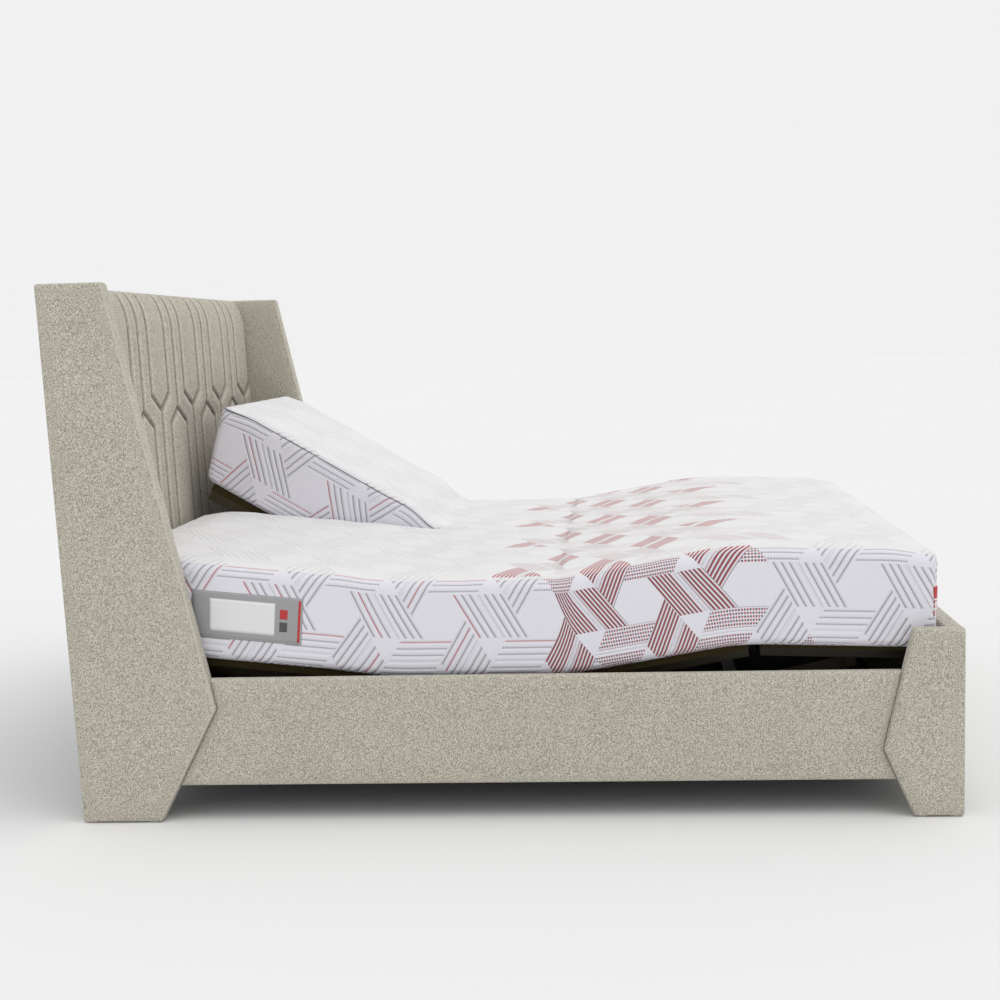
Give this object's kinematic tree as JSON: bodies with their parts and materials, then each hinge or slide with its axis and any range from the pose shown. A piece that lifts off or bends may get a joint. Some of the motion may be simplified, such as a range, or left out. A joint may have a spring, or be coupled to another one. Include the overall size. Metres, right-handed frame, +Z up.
{
  "type": "adjustable bed",
  "caption": "King-size adjustable bed: channel-tufted winged headboard and upholstered surround, split-head articulated base and quilted mattress.",
  "frame": {"origin": "on the floor, at the middle of the whole bed", "axes": "+Z up, +Y from the foot towards the head, X across the bed, with the low left head half at -X and the raised right half at +X"},
  "size_m": [1.955, 2.213, 1.3335],
  "materials": {
    "upholstery": "woven melange fabric, oatmeal",
    "mattress_knit": "white knitted cover, quilted",
    "label": "plain woven label",
    "lining": "thin black lining cloth",
    "board": "particle board",
    "deck_board": "dark felt over board",
    "frame_steel": "black powder coat",
    "zinc_steel": "zinc plated",
    "black_plastic": "matt",
    "nylon": "satin nylon",
    "rod_steel": "polished",
    "lead_rubber": "matt"
  },
  "bodies": {
    "base": {"wing_left": "upholstery", "wing_right": "upholstery", "headboard_frame": "board", "headboard_channels_wide": "upholstery", "headboard_channels_narrow": "upholstery", "headboard_back_cloth": "lining", "rail_left": "upholstery", "rail_right": "upholstery", "footboard": "upholstery", "foot_wing_left": "upholstery", "foot_wing_right": "upholstery", "corner_brackets": "zinc_steel", "corner_bolts": "zinc_steel", "floor_glides": "nylon", "base_sides": "frame_steel", "base_cross_tubes": "frame_steel", "base_legs": "frame_steel", "leg_glides": "black_plastic", "dust_cover": "lining", "deck_posts": "frame_steel", "seat_frame": "frame_steel", "seat_board": "deck_board", "seat_mattress": "mattress_knit", "thigh_hinge_pins": "zinc_steel", "head_guide_plates": "frame_steel", "head_guide_shoes": "nylon", "lift_bearings": "frame_steel", "link_brackets": "frame_steel", "drive_clevises": "frame_steel", "electronics_plate": "frame_steel", "control_box": "black_plastic", "power_supply": "black_plastic", "mains_inlet": "black_plastic", "power_lead": "lead_rubber"},
    "head_left": {"head_frame_left": "frame_steel", "curved_rails_left": "frame_steel", "head_board_left": "deck_board", "head_mattress_left": "mattress_knit", "mattress_label": "label"},
    "head_right": {"head_frame_right": "frame_steel", "curved_rails_right": "frame_steel", "head_board_right": "deck_board", "head_mattress_right": "mattress_knit"},
    "thigh": {"thigh_frame": "frame_steel", "thigh_board": "deck_board", "thigh_mattress": "mattress_knit", "knee_pins": "zinc_steel"},
    "foot": {"foot_frame": "frame_steel", "foot_board": "deck_board", "foot_mattress": "mattress_knit"},
    "foot_links": {"foot_links": "frame_steel"},
    "lift_arm": {"lift_arm": "frame_steel", "lift_roller_pins": "zinc_steel"},
    "lift_rollers": {"lift_rollers": "nylon"},
    "head_left_drive": {"drive_housing_head_left": "black_plastic"},
    "head_left_rod": {"drive_rod_head_left": "rod_steel"},
    "head_right_drive": {"drive_housing_head_right": "black_plastic"},
    "head_right_rod": {"drive_rod_head_right": "rod_steel"},
    "thigh_drive": {"drive_housing_thigh": "black_plastic"},
    "thigh_rod": {"drive_rod_thigh": "rod_steel"}
  },
  "joints": [
    {"name": "head_left_tilt", "type": "hinge", "parent": "base", "child": "head_left", "pos_m": [0, 0.2265, 0.505], "axis": [1, 0, 0], "range_deg": [-6, 54]},
    {"name": "head_right_tilt", "type": "hinge", "parent": "base", "child": "head_right", "pos_m": [0, 0.2265, 0.505], "axis": [1, 0, 0], "range_deg": [-31, 29]},
    {"name": "thigh_tilt", "type": "hinge", "parent": "base", "child": "thigh", "pos_m": [0, -0.1485, 0.31], "axis": [-1, 0, 0], "range_deg": [-9.6, 25.4]},
    {"name": "foot_tilt", "type": "hinge", "parent": "thigh", "child": "foot", "pos_m": [0, -0.61685, 0.38921], "axis": [-1, 0, 0], "range_deg": [-31.27, 12.34]},
    {"name": "lift_arm_turn", "type": "hinge", "parent": "base", "child": "lift_arm", "pos_m": [0, -0.1685, 0.215], "axis": [-1, 0, 0], "range_deg": [-9.7, 24.59]},
    {"name": "lift_roller_spin", "type": "hinge", "parent": "lift_arm", "child": "lift_rollers", "pos_m": [0, -0.31771, 0.29854], "axis": [1, 0, 0], "continuous": true},
    {"name": "foot_link_turn", "type": "hinge", "parent": "base", "child": "foot_links", "pos_m": [0, -0.4065, 0.24], "axis": [-1, 0, 0], "range_deg": [-9.55, 24.19]},
    {"name": "head_left_drive_tilt", "type": "hinge", "parent": "base", "child": "head_left_drive", "pos_m": [0, 0.0155, 0.156], "axis": [1, 0, 0], "range_deg": [-3.66, 28.1]},
    {"name": "head_left_rod_slide", "type": "slide", "parent": "head_left_drive", "child": "head_left_rod", "axis": [0, 0.9988, 0.0483], "range_m": [-0.03521, 0.26928]},
    {"name": "head_right_drive_tilt", "type": "hinge", "parent": "base", "child": "head_right_drive", "pos_m": [0, 0.0155, 0.156], "axis": [1, 0, 0], "range_deg": [-16.39, 15.37]},
    {"name": "head_right_rod_slide", "type": "slide", "parent": "head_right_drive", "child": "head_right_rod", "axis": [0, 0.9637, 0.2671], "range_m": [-0.15712, 0.14737]},
    {"name": "thigh_drive_tilt", "type": "hinge", "parent": "base", "child": "thigh_drive", "pos_m": [0, 0.1515, 0.18], "axis": [-1, 0, 0], "range_deg": [-1.62, 4.1]},
    {"name": "thigh_rod_slide", "type": "slide", "parent": "thigh_drive", "child": "thigh_rod", "axis": [0, -0.9882, -0.1531], "range_m": [-0.01315, 0.03317]}
  ],
  "couplings": [
    {"joint": "foot_tilt", "follows": "thigh_tilt", "ratio": -1.198},
    {"joint": "lift_arm_turn", "follows": "thigh_tilt", "ratio": 0.942},
    {"joint": "foot_link_turn", "follows": "thigh_tilt", "ratio": 0.9267},
    {"joint": "head_left_drive_tilt", "follows": "head_left_tilt", "ratio": 0.509},
    {"joint": "head_left_rod_slide", "follows": "head_left_tilt", "m_per_rad": 0.2794},
    {"joint": "head_right_drive_tilt", "follows": "head_right_tilt", "ratio": 0.509},
    {"joint": "head_right_rod_slide", "follows": "head_right_tilt", "m_per_rad": 0.2794},
    {"joint": "thigh_drive_tilt", "follows": "thigh_tilt", "ratio": 0.157},
    {"joint": "thigh_rod_slide", "follows": "thigh_tilt", "m_per_rad": 0.0726}
  ]
}
